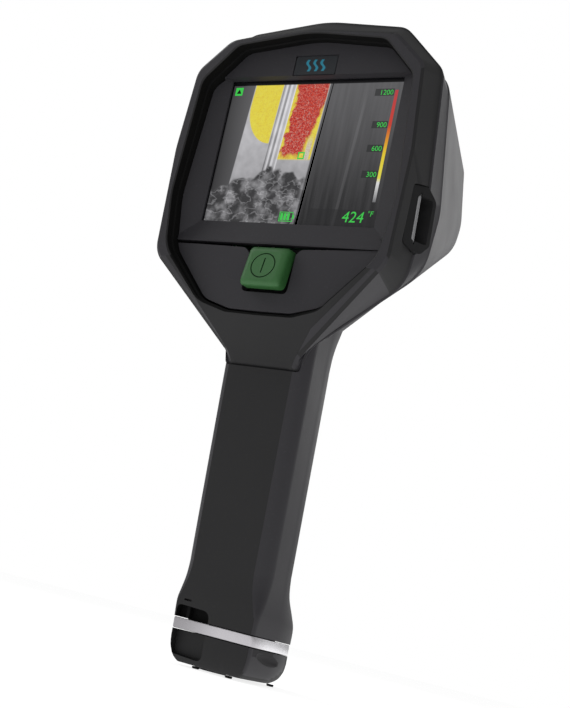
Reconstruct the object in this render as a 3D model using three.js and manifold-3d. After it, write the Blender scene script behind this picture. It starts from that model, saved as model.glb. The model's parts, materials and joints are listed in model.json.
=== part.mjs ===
// Hand-held thermal imaging camera: a hooded screen head on a straight grip, with a battery in the grip.
// Millimetres, +Z up. Everything is modelled in the grip's own frame (z runs up the grip, +y towards the
// lens, origin where the grip's axis meets the base plane). The whole camera then leans back by LEAN, so
// that it stands on its feet, with the middle of its depth over the origin.
import * as THREE from 'three';
import Module from 'manifold-3d';
import { mergeVertices } from 'three/addons/utils/BufferGeometryUtils.js';

const wasm = await Module();
wasm.setup();

// ---------------------------------------------------------------- driving dimensions
const LEAN = THREE.MathUtils.degToRad(7.8);   // grip axis to the base's normal
const FOOT_HEIGHT = 1.2;                      // base plane above the ground
const GAP = 0.3;                              // clearance between neighbouring pieces
const SCREEN_TILT = THREE.MathUtils.degToRad(3.5);
const SCREEN_CENTRE = [0, -19.7, 215.6];       // middle of the 81.3 x 61 mm picture, on the window's face
const RIM_Y = -31;                            // hood rim at mid height
const RIM_SLOPE = 0.045;                      // rim leans forward towards its top
const SEAM_Y = -16;                           // rear housing meets main housing
const TONGUE_SEAM_Y = -19.2;                  // the same seam round the tongue, nearer the surface
const BELLY_Y = -5.5;                         // widest section of the head
const FRONT_Y = 66;                           // front wall of the main housing, behind the lens window
const NOSE_Y = 79.7;                          // front edge of the main housing, round the lens hood
const BUMPER_Y = 86;                          // foremost edge of the rubber nose
const SEAM_Z = 124.5;                         // lower end of the rear housing on the grip
const BAND_LOW = 12.7;                        // strap band, heights above the base plane
const BAND_HIGH = 17.1;
const WALL = 2.6;
const LENS_Z = 222;                           // optical axis height
const BASE_SLOPE = Math.tan(LEAN);            // base plane's slope in the grip's frame
const BAY_TOP = 116;                          // upper end of the battery bay
const SOCKET_Y = -18.5;                        // middle of a strap socket
const SOCKET_Z = 189.5;
const NOSE_BORE = 25.6;                       // hole through the nose for the lens hood
const LOCK_RADIUS = 9.6;
const LOCK_AT = [-2.6, -2];                   // knob centre on the base plane
const LOCK_TURN = THREE.MathUtils.degToRad(35);
const SCREW_RADIUS = 29;                      // nose screws, from the optical axis
const HEAD_Y = NOSE_Y + 1.2;                  // underside of their heads
const BUTTON_V = -52.2;                       // power button centre below the screen's centre
const BUTTON_SIZE = 16.4;
const BUTTON_TRAVEL = 1.2;

// ---------------------------------------------------------------- colours
const finish = {
  shell: { color: '#2b2b2d', roughness: 0.62, metalness: 0 },
  panel: { color: '#3c3a3f', roughness: 0.55, metalness: 0 },
  rubber: { color: '#1f1f20', roughness: 0.85, metalness: 0 },
  steel: { color: '#b9b9bd', roughness: 0.3, metalness: 1 },
  band: { color: '#c9c6cb', roughness: 0.35, metalness: 0.7 },
  green: { color: '#1f5b28', roughness: 0.5, metalness: 0 },
  glass: { color: '#111214', roughness: 0.05, metalness: 0 },
  badge: { color: '#2a6f80', roughness: 0.4, metalness: 0 },
  board: { color: '#1d5a3a', roughness: 0.6, metalness: 0 },
  gold: { color: '#c79a3c', roughness: 0.3, metalness: 1 },
  germanium: { color: '#4a4440', roughness: 0.12, metalness: 0.8 },
  aluminium: { color: '#8f9296', roughness: 0.4, metalness: 1 },
  cell: { color: '#2c6a8c', roughness: 0.4, metalness: 0 },
};

// ---------------------------------------------------------------- geometry helpers
/** Full symmetric outline from its right half. Each corner is [x, z, radius]; the ends lie on x = 0. */
function mirroredOutline(half, curveSteps = 3) {
  const right = half.slice(1, -1);
  const left = right.map(([x, z, r]) => [-x, z, r]).reverse();
  return roundedOutline([half[0], ...right, half[half.length - 1], ...left], curveSteps);
}

/** Outline of straight runs joined by smooth curves, with curveSteps + 1 points at each corner. */
function roundedOutline(corners, curveSteps = 3) {
  const points = [];
  corners.forEach(([x, z, r], i) => {
    const here = new THREE.Vector2(x, z);
    const before = corners.at(i - 1);
    const after = corners[(i + 1) % corners.length];
    const a = new THREE.Vector2(before[0] - x, before[1] - z);
    const b = new THREE.Vector2(after[0] - x, after[1] - z);
    const reach = 0.48 * Math.min(a.length(), b.length());
    a.normalize();
    b.normalize();
    const half = Math.acos(THREE.MathUtils.clamp(a.dot(b), -1, 1)) / 2;
    const cut = Math.min(reach, r / Math.tan(half));
    const start = here.clone().addScaledVector(a, cut);
    const end = here.clone().addScaledVector(b, cut);
    for (let k = 0; k <= curveSteps; k += 1) {
      const t = k / curveSteps;
      const p = start.clone().multiplyScalar((1 - t) ** 2);
      p.addScaledVector(here, 2 * t * (1 - t));
      p.addScaledVector(end, t * t);
      points.push(p);
    }
  });
  return points;
}

/** Closed body through rings of 3-D points with equal counts; each end is a fan about its middle. */
function loft(rings) {
  const count = rings[0].length;
  const flat = rings.flat();
  const index = [];
  for (let r = 0; r + 1 < rings.length; r += 1) {
    for (let k = 0; k < count; k += 1) {
      const a = r * count + k;
      const b = r * count + ((k + 1) % count);
      index.push(a, b, a + count, b, b + count, a + count);
    }
  }
  const last = (rings.length - 1) * count;
  const middles = [rings[0], rings.at(-1)].map((ring) => ring
    .reduce((sum, p) => sum.add(p), new THREE.Vector3()).divideScalar(count));
  flat.push(...middles);
  for (let k = 0; k < count; k += 1) {
    const next = (k + 1) % count;
    index.push(next, k, flat.length - 2, last + k, last + next, flat.length - 1);
  }
  const geometry = new THREE.BufferGeometry();
  geometry.setAttribute('position', new THREE.Float32BufferAttribute(flat.flatMap((p) => p.toArray()), 3));
  geometry.setIndex(index);
  return facedOut(geometry);
}

/** The same geometry with shared vertices, no empty triangles, and its faces turned outwards. */
function facedOut(source) {
  const geometry = mergeVertices(bare(source), 1e-4);
  const p = geometry.attributes.position;
  const index = [];
  for (let i = 0; i < geometry.index.count; i += 3) {
    const t = [0, 1, 2].map((k) => geometry.index.getX(i + k));
    if (new Set(t).size === 3) index.push(...t);
  }
  geometry.setIndex(index);
  let volume = 0;
  const [a, b, c] = [new THREE.Vector3(), new THREE.Vector3(), new THREE.Vector3()];
  for (let i = 0; i < index.length; i += 3) {
    a.fromBufferAttribute(p, index[i]);
    b.fromBufferAttribute(p, index[i + 1]);
    c.fromBufferAttribute(p, index[i + 2]);
    volume += a.dot(b.cross(c));
  }
  if (volume < 0) geometry.setIndex(index.reverse());
  return geometry;
}

/** A copy that holds positions only. */
function bare(geometry) {
  const copy = geometry.clone();
  copy.deleteAttribute('normal');
  copy.deleteAttribute('uv');
  return copy;
}

function solid(geometry) {
  const merged = facedOut(geometry);
  return new wasm.Manifold(new wasm.Mesh({
    numProp: 3,
    vertProperties: new Float32Array(merged.attributes.position.array),
    triVerts: new Uint32Array(merged.index.array),
  }));
}

function geometryOf(manifold) {
  const mesh = manifold.getMesh();
  const geometry = new THREE.BufferGeometry();
  geometry.setAttribute('position', new THREE.Float32BufferAttribute(mesh.vertProperties, 3));
  geometry.setIndex(Array.from(mesh.triVerts));
  return geometry;
}

const cut = (body, ...tools) => geometryOf(tools.reduce((s, t) => s.subtract(solid(t)), solid(body)));
const join = (...bodies) => geometryOf(bodies.slice(1).reduce((s, t) => s.add(solid(t)), solid(bodies[0])));
const common = (body, tool) => geometryOf(solid(body).intersect(solid(tool)));

/** A 2-D outline drawn in x and z, made solid from y = low to y = high. */
function plateY(points, low, high) {
  return loft([low, high].map((y) => points.map((p) => new THREE.Vector3(p.x, y, p.y))));
}

/** A 2-D outline drawn in x and y, made solid from z = low to z = high. */
function plateZ(points, low, high) {
  const geometry = new THREE.ExtrudeGeometry(new THREE.Shape(points), { depth: high - low, bevelEnabled: false });
  return geometry.translate(0, 0, low);
}

/** Prism between two planes parallel to the base, for pieces around the foot of the grip. */
function basePrism(points, low, high) {
  const rings = [low, high].map((z) => points.map((p) => new THREE.Vector3(p.x, p.y, z - p.y * BASE_SLOPE)));
  return loft(rings);
}

/** Ring or disc about the y axis, through [radius, y] profile points. */
function turnedY(profile, x, z, steps = 28) {
  const geometry = new THREE.LatheGeometry(profile.map(([r, y]) => new THREE.Vector2(r, y)), steps);
  return facedOut(geometry).translate(x, 0, z);
}

function turnedZ(profile, x, y, steps = 24) {
  const geometry = new THREE.LatheGeometry(profile.map(([r, z]) => new THREE.Vector2(r, z)), steps);
  return facedOut(geometry).rotateX(Math.PI / 2).translate(x, y, 0);
}

const rectangle = (x0, y0, x1, y1, r, steps = 3) => roundedOutline(
  [[x0, y0, r], [x1, y0, r], [x1, y1, r], [x0, y1, r]],
  steps,
);
const box = (x0, x1, y0, y1, z0, z1) => new THREE.BoxGeometry(x1 - x0, y1 - y0, z1 - z0)
  .translate((x0 + x1) / 2, (y0 + y1) / 2, (z0 + z1) / 2);
const ringProfile = (inner, outer, low, high) => [
  [inner, low], [outer, low], [outer, high], [inner, high], [inner, low],
];
const discProfile = (radius, low, high) => [[0, low], [radius, low], [radius, high], [0, high]];

// ---------------------------------------------------------------- scene graph
const camera = new THREE.Group();
const upright = new THREE.Group();
upright.add(camera);

function part(name, geometry, look, parent = camera) {
  const mesh = new THREE.Mesh(geometry, new THREE.MeshStandardMaterial(finish[look]));
  mesh.name = name;
  parent.add(mesh);
  return mesh;
}

// ---------------------------------------------------------------- head outlines, [x, z, radius]
const TONGUE = 15.6;                          // half width of the tongue's flat back
const TONGUE_SEAM = 17.3;                     // half width of the tongue at its seam
const OUTLINES = {
  rim: [[0, 266.4, 60], [39.5, 263.2, 10], [54.3, 249.6, 9], [56.9, 214, 40], [55.4, 167.4, 12],
    [17.6, 129.6, 8], [TONGUE, SEAM_Z, 0.5], [0, SEAM_Z, 0]],
  seam: [[0, 274.4, 60], [37.4, 270, 10], [56.6, 251.4, 10], [59.8, 193, 40], [55.6, 164, 18],
    [19.8, 135, 10], [TONGUE_SEAM, SEAM_Z, 0.5], [0, SEAM_Z, 0]],
  belly: [[0, 277, 60], [34, 272.4, 10], [55.6, 249, 12], [60.8, 195, 40], [58, 170.8, 20],
    [20, 141.5, 10], [14, 131, 6], [0, 129, 6]],
  nose: [[0, 258, 30], [17, 256, 12], [29.2, 243.4, 13], [32.6, 214, 30], [30.6, 202, 14],
    [19.5, 193.3, 10], [6, 187, 6], [0, 187, 6]],
};
const POCKET = [[0, 264.2, 60], [34.7, 260, 7], [49.8, 244.5, 8], [52.8, 194, 40], [49.6, 170.5, 16],
  [28, 148.6, 12], [15, 145.2, 10], [0, 145, 10]];

const rimPlane = (z) => RIM_Y + RIM_SLOPE * (z - 211);
/** Rear surface: the rim's plane, easing down to the grip's flat back below the hood. */
function rearSurface(z) {
  const t = THREE.MathUtils.smoothstep(z, SEAM_Z - 1, 156);
  return THREE.MathUtils.lerp(-20.5, rimPlane(z), t);
}
/** Seam between the housings: one plane round the head, easing out to the surface at the tongue. */
const seamY = (z) => THREE.MathUtils.lerp(TONGUE_SEAM_Y, SEAM_Y, THREE.MathUtils.smoothstep(z, 126, 150));
const ringAtSeam = (outline, offset) => mirroredOutline(outline)
  .map((p) => new THREE.Vector3(p.x, seamY(p.y) + offset, p.y));
const ringAtY = (outline, y) => mirroredOutline(outline).map((p) => new THREE.Vector3(p.x, y, p.y));
const ringAtRear = (outline, offset) => mirroredOutline(outline)
  .map((p) => new THREE.Vector3(p.x, rearSurface(p.y) + offset, p.y));
const SCREWS = [[-1, 1], [1, 1], [-1, -1], [1, -1]]
  .map(([sx, sz]) => [sx * 0.735 * SCREW_RADIUS, LENS_Z + sz * 0.675 * SCREW_RADIUS]);
const inset = (outline, d) => outline.map(([x, z, r], i) => [
  x === 0 ? 0 : Math.max(0.5, x - d),
  i === 0 ? z - d : z + (i > 3 ? d : i < 3 ? -d : 0),
  r,
]);

/** Outline part of the way from a to b. */
const between = (a, b, t) => a.map((corner, i) => corner.map((v, k) => THREE.MathUtils.lerp(v, b[i][k], t)));

// ---------------------------------------------------------------- rear housing with its hood
function rearHousing() {
  const outer = loft([
    ringAtRear(OUTLINES.rim, 0),
    ringAtSeam(OUTLINES.seam, 0),
  ]);
  const pocket = plateY(mirroredOutline(POCKET), -60, 0);
  return cut(outer, pocket, ...[-1, 1].map(socketPocket));
}

/** Space that one strap socket and its clearance take out of the housings. */
function socketPocket(side) {
  return socketBlock(side, GAP, 10);
}

// ---------------------------------------------------------------- main housing: head front, neck and grip
const GRIP_TAPER = 0.0086;
/** Section of the grip; square from 0 to 1 widens its flat back until the facets beside it are gone. */
function gripSection(z, { wide = 0, front = 0, back = 0, square = 0 } = {}) {
  const taper = GRIP_TAPER * (z - 96);
  const half = 20.2 + taper + wide;
  const flat = half - 5.1 + square * 3.8;
  const rear = -20.5 - back;
  const middle = -2;
  const nose = 19.6 + front;
  const right = [
    [flat, rear],
    [half - 1.6 + square * 1.4, rear + 2.8 - square * 1.5],
    [half, rear + 7.5 - square * 5],
  ];
  for (let k = 0; k < 7; k += 1) {
    const a = (k / 7) * (Math.PI / 2);
    right.push([(half - 1.6 * (1 - square)) * Math.cos(a), middle + nose * Math.sin(a)]);
  }
  const left = right.map(([x, y]) => [-x, y]).reverse();
  return [...right, [0, middle + nose], ...left].map(([x, y]) => new THREE.Vector2(x, y));
}
/** Grip rings: height, how far the ring follows the base plane, and how its section swells. */
const GRIP_RINGS = [
  [BAND_HIGH + 0.2, 1, { wide: -0.2, front: 12, back: 0.4, square: 1 }],
  [24, 1, { wide: 0.2, front: 11.4, back: 0.4, square: 0.9 }],
  [29, 0.8, { wide: 0.2, front: 7.4, back: 0.3, square: 0.55 }],
  [35, 0.5, { front: 1.8, back: 0.1, square: 0.2 }],
  [42, 0.2, {}],
  [50, 0, {}],
  [118, 0, {}],
  [130, 0, {}],
  [138, 0, { wide: 0.3, front: 1.2 }],
  [145, 0, { wide: 1.2, front: 3.6 }],
  [152, 0, { wide: 2.4, front: 7 }],
  [160, 0, { wide: 5, front: 18 }],
];
function gripRing([z, follow, swell]) {
  return gripSection(z, swell).map((p) => new THREE.Vector3(p.x, p.y, z - follow * BASE_SLOPE * p.y));
}
/** Battery bay's outline, drawn in by d. */
const bay = (d) => gripSection(50, { wide: -3.4 - d, front: -3.2 - d, back: -4.3 - d });

/** Outline of the grip's foot, drawn in by d at its sides and front and by less at its flat back. */
function baseSection(d, back = d) {
  return gripSection(18, { wide: -0.4 - d * 0.8, front: 11.6 - d * 2.1, back: 0.4 - back, square: 1 });
}

function mainHousing() {
  const head = loft([
    ringAtSeam(OUTLINES.seam, GAP),
    ringAtY(OUTLINES.belly, BELLY_Y),
    ringAtY(OUTLINES.nose, NOSE_Y),
  ]);
  const grip = loft(GRIP_RINGS.map(gripRing));
  const collar = basePrism(bay(-1.2), BAND_LOW + GAP, BAND_HIGH + 1.5);
  const shell = join(head, grip, collar);
  const rearSpace = loft([ringAtY(inset(OUTLINES.seam, -GAP), -60), ringAtSeam(inset(OUTLINES.seam, -GAP), GAP)]);
  const inner = FRONT_Y - WALL;
  const cavity = loft([
    ringAtY(inset(OUTLINES.seam, WALL), SEAM_Y - 4),
    ringAtY(inset(OUTLINES.belly, WALL), BELLY_Y),
    ringAtY(inset(between(OUTLINES.belly, OUTLINES.nose, (inner - BELLY_Y) / (NOSE_Y - BELLY_Y)), WALL), inner),
  ]);
  const lensHole = turnedY([
    [0, FRONT_Y - 10], [24.2, FRONT_Y - 10], [24.2, FRONT_Y + 1], [NOSE_BORE, FRONT_Y + 1],
    [NOSE_BORE, NOSE_Y + 5], [0, NOSE_Y + 5],
  ], 0, LENS_Z, 36);
  const bayHole = plateZ(bay(0), -20, BAY_TOP);
  const wireWay = plateZ(rectangle(-10, -12, 10, 10, 4), BAY_TOP - 1, 150);
  const screwHoles = SCREWS.map(([x, z]) => screw(x, z, GAP));
  const sockets = [-1, 1].map(socketPocket);
  return cut(shell, rearSpace, cavity, lensHole, bayHole, wireWay, strapRecess(), ...sockets, ...screwHoles);
}

// ---------------------------------------------------------------- strap sockets in the sides of the head
/** Six-sided block of a strap socket, grown by d; its outer face follows the housings' flare. */
function socketBlock(side, d, out = 0) {
  const y = SOCKET_Y;
  const z = SOCKET_Z;
  const outline = roundedOutline([
    [y - 7.2 - d, z - 11 - d, 2], [y + 3, z - 13.5 - d, 3], [y + 7.6 + d, z - 9 - d, 3],
    [y + 7.6 + d, z + 9 + d, 3], [y + 2, z + 13.5 + d, 3], [y - 7.2 - d, z + 12 + d, 2],
  ], 2);
  const innerX = () => 53.2 - d;
  const outerX = (p) => 58.6 + 0.3 * (p.x - y) + out;
  const rings = [innerX, outerX].map((at) => outline.map((p) => new THREE.Vector3(side * at(p), p.x, p.y)));
  return loft(rings);
}

/** Socket block with its strap slot. */
function strapSocket(side) {
  const y = SOCKET_Y;
  const x = [54.6, 70].map((v) => side * v).sort((a, b) => a - b);
  const hollow = box(...x, y - 3, y + 5.8, SOCKET_Z - 9, SOCKET_Z + 9);
  return cut(socketBlock(side, 0), hollow, strapPin(side, 0.3, 20.6));
}

function strapPin(side, d = 0, length = 20) {
  const profile = discProfile(1 + d, SOCKET_Z - length / 2, SOCKET_Z + length / 2);
  return turnedZ(profile, side * 57, SOCKET_Y - 1, 12);
}

// ---------------------------------------------------------------- strap recess and band at the foot
function strapRecess() {
  return box(-18, -2.6, -30, -17.4, 4.6, 25);
}

function strapBand() {
  const outer = basePrism(baseSection(0), BAND_LOW, BAND_HIGH - 0.1);
  const inner = basePrism(baseSection(1.5), BAND_LOW - 3, BAND_HIGH + 3);
  return cut(outer, inner);
}

part('rear_housing', rearHousing(), 'shell');
part('main_housing', mainHousing(), 'shell');
part('strap_band', strapBand(), 'band');
for (const [side, label] of [[-1, 'left'], [1, 'right']]) {
  part(`strap_socket_${label}`, strapSocket(side), 'rubber');
  part(`strap_pin_${label}`, strapPin(side), 'steel');
}

/** Flat seal squeezed between the two housings, stepping inwards past the strap sockets. */
function housingGasket() {
  const outline = [[0, 270.8, 60], [34, 266, 7], [51.6, 247.4, 8], [55.2, 213, 3], [46.3, 207, 3],
    [46.3, 175, 3], [48, 168.6, 6], [22, 150.4, 8], [0, 149, 4]];
  const outer = plateY(mirroredOutline(outline), SEAM_Y + 0.4, SEAM_Y + 1.6);
  const inner = plateY(mirroredOutline(inset(outline, 1.5)), SEAM_Y - 4, SEAM_Y + 6);
  return cut(outer, inner);
}
part('housing_gasket', housingGasket(), 'rubber');

// ---------------------------------------------------------------- nose: rubber bumper, lens and its parts
function frontBumper() {
  const outer = loft([
    ringAtY(inset(OUTLINES.nose, 1.3), NOSE_Y + GAP),
    ringAtY(inset(OUTLINES.nose, 2.6), NOSE_Y + 3.2),
    ringAtY(inset(OUTLINES.nose, 6), BUMPER_Y),
  ]);
  const bore = turnedY(discProfile(NOSE_BORE, NOSE_Y - 5, BUMPER_Y + 5), 0, LENS_Z, 36);
  return cut(outer, bore, ...SCREWS.map(([x, z]) => screw(x, z, GAP)));
}
part('front_bumper', frontBumper(), 'rubber');
part('lens_hood', turnedY([
  [21.6, FRONT_Y + 6], [25.2, FRONT_Y + 6], [25.2, BUMPER_Y - 1.5], [24.2, BUMPER_Y - 1.5], [21, FRONT_Y + 9],
  [21, FRONT_Y + 6], [21.6, FRONT_Y + 6],
], 0, LENS_Z, 36), 'aluminium');
part('window_retainer', turnedY(ringProfile(19.6, 25.2, FRONT_Y + 4, FRONT_Y + 5.7), 0, LENS_Z, 32), 'aluminium');
part('lens_window', turnedY(discProfile(20.6, FRONT_Y + 1.2, FRONT_Y + 3.7), 0, LENS_Z, 32), 'germanium');
part('window_seal', turnedY(ringProfile(21, 23.8, FRONT_Y - 1.5, FRONT_Y + 3.6), 0, LENS_Z, 28), 'rubber');
part('lens_barrel', turnedY([
  [18.6, 24], [20.6, 24], [20.6, FRONT_Y + 0.8], [18.6, FRONT_Y + 0.8], [18.6, 24],
], 0, LENS_Z, 28), 'aluminium');
part('lens_front', turnedY([
  [0, 52], [11, 52.6], [18.2, 55], [18.2, 60], [11, 62], [0, 62.8],
], 0, LENS_Z, 24), 'germanium');
part('lens_rear', turnedY([
  [0, 33.5], [9, 33], [18.2, 32], [18.2, 36], [9, 38], [0, 38.6],
], 0, LENS_Z, 24), 'germanium');
part('lens_spacer', turnedY(ringProfile(16.2, 18.3, 37.1, 53.8), 0, LENS_Z, 24), 'aluminium');

// ---------------------------------------------------------------- imaging core behind the lens
part('shutter_bracket', cut(
  plateY(rectangle(-24, LENS_Z - 24, 24, LENS_Z + 24, 4), 20.6, 22.6),
  turnedY(discProfile(15, 15, 30), 0, LENS_Z, 24),
), 'aluminium');
const SHUTTER_PIVOT = [19, LENS_Z + 19];
part('shutter_motor', turnedY(discProfile(4, 6, 17), ...SHUTTER_PIVOT, 16), 'steel');
part('shutter_flag', shutterFlag(), 'shell');
function shutterFlag() {
  const disc = turnedY(discProfile(13, 17.6, 18.6), 0, LENS_Z, 24);
  const arm = plateY(roundedOutline([
    [6, LENS_Z + 2, 1], [10, LENS_Z + 0, 1], [SHUTTER_PIVOT[0] + 2.5, SHUTTER_PIVOT[1] - 2, 2],
    [SHUTTER_PIVOT[0] - 2, SHUTTER_PIVOT[1] + 2.5, 2],
  ], 2), 17.6, 18.6);
  const hub = turnedY(discProfile(3.4, 17.4, 20), ...SHUTTER_PIVOT, 16);
  return join(disc, arm, hub);
}
part('sensor_housing', cut(
  box(-17, 14.2, 4, 15.5, LENS_Z - 17, LENS_Z + 14.2),
  turnedY(discProfile(10, 8, 30), 0, LENS_Z, 24),
), 'aluminium');
part('detector', box(-6, 6, 8.4, 11, LENS_Z - 6, LENS_Z + 6), 'gold');
part('main_board', box(-38, 38, -1, 0.6, 178, 252), 'board');
part('core_frame', cut(
  box(-40, 40, 1.2, 3.2, 176, 254),
  box(-14, 14, -5, 8, 200, 238),
  box(-36, -18, -5, 8, 184, 246),
  box(18, 36, -5, 8, 184, 246),
), 'aluminium');
part('processor', box(-9, 9, -3.6, -1.3, 205, 223), 'shell');

// ---------------------------------------------------------------- screen, bezel and button, in the screen's plane
const screen = new THREE.Group();
screen.position.set(...SCREEN_CENTRE);
screen.rotation.x = Math.PI / 2 - SCREEN_TILT;
camera.add(screen);

const SPLIT_V = -41.6;                        // joint between screen bezel and button panel
const pocketInScreen = inset(POCKET, GAP).map(([x, z, r]) => [x, z - SCREEN_CENTRE[2], r]);
const facing = (points, low, high) => plateZ(points, low, high);
const strip = (v0, v1) => box(-70, 70, v0, v1, -30, 30);

/** Window outline, grown by d, with its upper corners cut off to follow the hood. */
const windowOutline = (d) => roundedOutline([
  [-44 - d, -33.4 - d, 2], [44 + d, -33.4 - d, 2], [44 + d, 30 + d / 2, 2], [39.6 + d / 2, 34.6 + d, 2],
  [-39.6 - d / 2, 34.6 + d, 2], [-44 - d, 30 + d / 2, 2],
]);
part('window_gasket', cut(facing(windowOutline(2), -1.6, 0), facing(windowOutline(0.4), -5, 5)), 'rubber', screen);
part('display_window', facing(windowOutline(0), -1.6, 0), 'glass', screen);
part('lcd_panel', facing(rectangle(-43, -32.6, 43, 32.6, 1), -4.9, -1.9), 'glass', screen);
part('lcd_bracket', cut(
  facing(rectangle(-43.5, -33.5, 43.5, 33.5, 2), -6.7, -5.2),
  facing(rectangle(-36, -26, 36, 26, 2), -10, 0),
), 'aluminium', screen);
part('display_board', facing(rectangle(-40, -30, 40, 30, 1), -8.6, -7), 'board', screen);
part('display_frame', cut(
  common(facing(mirroredOutline(pocketInScreen), 0.3, 3.6), strip(SPLIT_V + GAP / 2, 60)),
  facing(rectangle(-41.6, -31.6, 41.6, 32.6, 1), -5, 10),
  badgeRecess(),
), 'panel', screen);
function badgeRecess() {
  return box(-10.3, 10.3, 33.2, 42.2, 2.6, 10);
}
part('badge_plate', facing(rectangle(-9.9, 33.6, 9.9, 41.8, 0.8), 2.9, 3.4), 'badge', screen);

/** Lower panel: its face rises towards the bottom, almost to the rim, with a well for the power button. */
function buttonPanel() {
  const outline = mirroredOutline(pocketInScreen);
  const rise = (p) => 3.2 + Math.max(0, (SPLIT_V - p.y) * 0.08);
  const rings = [() => 0.3, rise].map((h) => outline.map((p) => new THREE.Vector3(p.x, p.y, h(p))));
  const body = common(loft(rings), strip(-90, SPLIT_V - GAP / 2));
  return cut(body, facing(buttonSquare(1.9), -5, 20));
}
function buttonSquare(d) {
  const h = BUTTON_SIZE / 2 + d;
  return rectangle(-h - 0.8, BUTTON_V - h, h + 0.8, BUTTON_V + h, 1.8);
}
part('button_panel', buttonPanel(), 'panel', screen);
part('power_button', powerButton(), 'green', screen);
function powerButton() {
  const at = (d, w) => buttonSquare(d).map((p) => new THREE.Vector3(p.x, p.y, w - (p.y - BUTTON_V) * 0.2));
  return loft([at(0.5, 3.2), at(0.5, 7), at(-1.6, 9.6)]);
}
part('button_seal', cut(
  facing(buttonSquare(2.2), -2.4, -1.2),
  facing(rectangle(-4, BUTTON_V - 4, 4, BUTTON_V + 4, 1), -9, 9),
), 'rubber', screen);
part('tact_switch', facing(rectangle(-3, BUTTON_V - 3, 3, BUTTON_V + 3, 0.6, 1), -3.2, 1.4), 'steel', screen);
part('button_board', facing(rectangle(-13, BUTTON_V - 9, 13, BUTTON_V + 9, 1, 1), -5, -3.6), 'board', screen);

// ---------------------------------------------------------------- battery, its cap and lock
const CASE_TOP = 100;
const CASE_LOW = 17;
part('battery_case', cut(
  plateZ(bay(0.5), CASE_LOW, CASE_TOP),
  plateZ(bay(1.4), CASE_LOW + 2, CASE_TOP + 5),
), 'shell');
const CELL_RADIUS = 6.7;
[-7.9, 5.9].forEach((y, i) => {
  const cell = turnedZ(discProfile(CELL_RADIUS, CASE_LOW + 3, CASE_LOW + 68), 0, y, 20);
  part(`battery_cell_${i + 1}`, cell, 'cell');
});
part('battery_lid', plateZ(bay(1.8), CASE_TOP - 3, CASE_TOP - 0.4), 'panel');
[-1, 1].forEach((side) => {
  const name = side < 0 ? 'left' : 'right';
  part(`battery_contact_${name}`, box(side * 6 - 2, side * 6 + 2, -4, 3, CASE_TOP, CASE_TOP + 0.8), 'gold');
  part(`grip_contact_${name}`, turnedZ(discProfile(1, CASE_TOP + 1.2, BAY_TOP - 6.3), side * 6, -0.5, 12), 'gold');
});
part('contact_block', plateZ(bay(0.4), BAY_TOP - 6, BAY_TOP - 0.4), 'shell');

function batteryCap() {
  const ring = (d, z) => baseSection(d, d * 0.35)
    .map((p) => new THREE.Vector3(p.x, p.y, z - p.y * BASE_SLOPE));
  const body = loft([ring(5.2, 0), ring(2.8, 1.6), ring(1.1, 4.2), ring(0.2, 7.4), ring(0, BAND_LOW - GAP)]);
  const plug = plateZ(bay(1.6), 8, CASE_LOW - GAP);
  const knobWell = turnedZ(discProfile(LOCK_RADIUS + 0.4, -3, 4.3), ...LOCK_AT, 28).rotateX(-LEAN);
  return cut(join(body, plug), strapRecess(), knobWell);
}
part('battery_cap', batteryCap(), 'shell');
part('cap_seal', cut(
  plateZ(bay(0.3), 15.1, 16.3),
  plateZ(bay(1.3), 0, 30),
), 'rubber');

// The lock and the feet lie square to the base plane, so they get a group that turns back by the lean.
const base = new THREE.Group();
base.rotation.x = -LEAN;
camera.add(base);
const lock = new THREE.Group();
lock.position.set(...LOCK_AT, 0);
lock.rotation.z = LOCK_TURN;
base.add(lock);
part('lock_knob', cut(
  turnedZ(discProfile(LOCK_RADIUS, 0.2, 4), 0, 0, 28),
  box(-2.4, 2.4, -8.2, 8.2, -5, 2.2),
), 'panel', lock);
part('lock_bail', lockBail(), 'steel', lock);
/** Folding bail: a flat bow lying under the cap, with a pivot bar in the knob's groove. */
function lockBail() {
  const outer = plateZ(roundedOutline([
    [0.9, -7.4, 0.8], [0.9, 7.4, 0.8], [-8, 7.4, 5.4], [-12.6, 0, 5], [-8, -7.4, 5.4],
  ], 3), -0.9, -0.3);
  const inner = plateZ(roundedOutline([
    [-1.4, -5.2, 0.8], [-1.4, 5.2, 0.8], [-7.4, 5.2, 4], [-10.2, 0, 4], [-7.4, -5.2, 4],
  ], 3), -5, 5);
  const bar = box(-0.9, 0.9, -7.4, 7.4, -0.8, 1.4);
  return join(cut(outer, inner), bar);
}
const FEET = [[-8, -14.6], [8, -14.6], [-9.5, 17], [9.5, 17]];
FEET.forEach(([x, y], i) => {
  part(`foot_${i + 1}`, turnedZ(discProfile(1.5, -FOOT_HEIGHT, -GAP), x, y, 16), 'rubber', base);
});

// ---------------------------------------------------------------- nose screws
SCREWS.forEach(([x, z], i) => {
  part(`nose_screw_${i + 1}`, screw(x, z), 'steel');
});
/** Countersunk-bore screw through the bumper into the main housing, grown by d as a cutting tool. */
function screw(x, z, d = 0) {
  const head = HEAD_Y + (d ? 30 : 2);
  return turnedY([
    [0, HEAD_Y - 12], [1 + d, HEAD_Y - 12], [1 + d, HEAD_Y - d], [1.8 + d, HEAD_Y - d],
    [1.8 + d, head], [0, head],
  ], x, z, 14);
}

// ---------------------------------------------------------------- stand the camera on its feet
camera.rotation.x = LEAN;
const extent = new THREE.Box3().setFromObject(camera, true);
upright.position.set(0, -(extent.min.y + extent.max.y) / 2, FOOT_HEIGHT);
export default upright;
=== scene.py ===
"""Hand-held thermal imaging camera: its looks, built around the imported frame.

Shapes are drawn in millimetres in the grip's own frame (z runs up the grip, y towards the lens) or in the
frame of the screen or the base, and make() places them in the row frame in metres."""

import json
import math

import bmesh
import bpy
from mathutils import Matrix, Vector


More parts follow.
